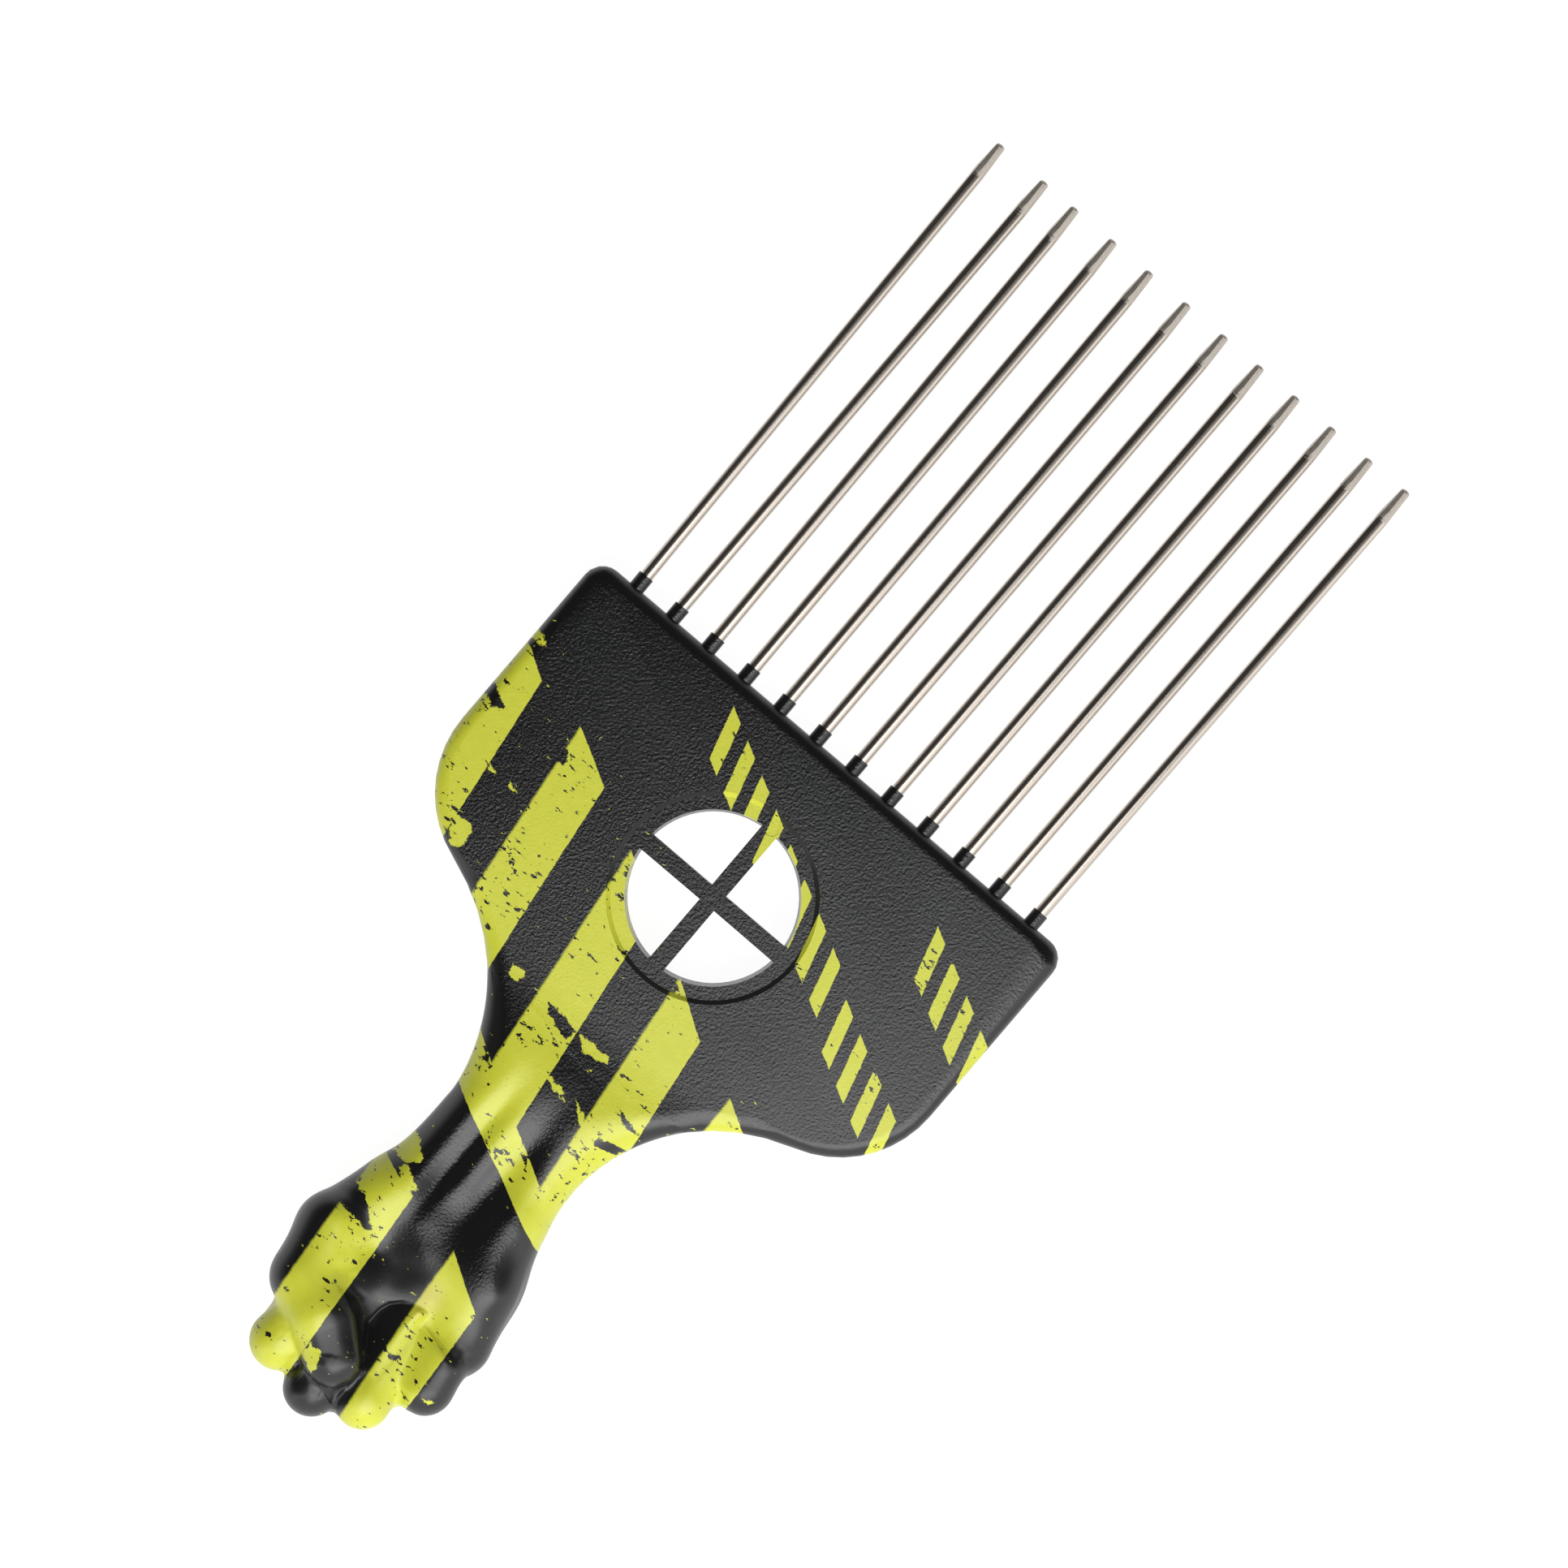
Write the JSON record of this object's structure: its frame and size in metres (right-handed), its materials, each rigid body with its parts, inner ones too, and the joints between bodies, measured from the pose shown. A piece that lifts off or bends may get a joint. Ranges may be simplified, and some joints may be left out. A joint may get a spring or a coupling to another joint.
{
  "type": "afro pick",
  "caption": "Hair pick with long round steel teeth held in a flat black plastic plate, which narrows to a wrist and a clenched fist as its handle",
  "frame": {"origin": "centre of the bounding box in plan, level with the lowest point of the back of the fist", "axes": "+Y along the teeth towards their tips, +X across the plate, +Z out of the palm side, up when it lies on its back"},
  "size_m": [0.076, 0.1752, 0.0197],
  "materials": {
    "black_plastic": "moulded, fine spark-eroded grain on the faces and gloss on the rounded edges, with worn yellow-green printed stripes",
    "tooth_steel": "drawn bright wire with ground points"
  },
  "bodies": {
    "root": {"handle": "black_plastic", "tooth_01": "tooth_steel", "tooth_02": "tooth_steel", "tooth_03": "tooth_steel", "tooth_04": "tooth_steel", "tooth_05": "tooth_steel", "tooth_06": "tooth_steel", "tooth_07": "tooth_steel", "tooth_08": "tooth_steel", "tooth_09": "tooth_steel", "tooth_10": "tooth_steel", "tooth_11": "tooth_steel", "tooth_12": "tooth_steel"}
  },
  "joints": []
}
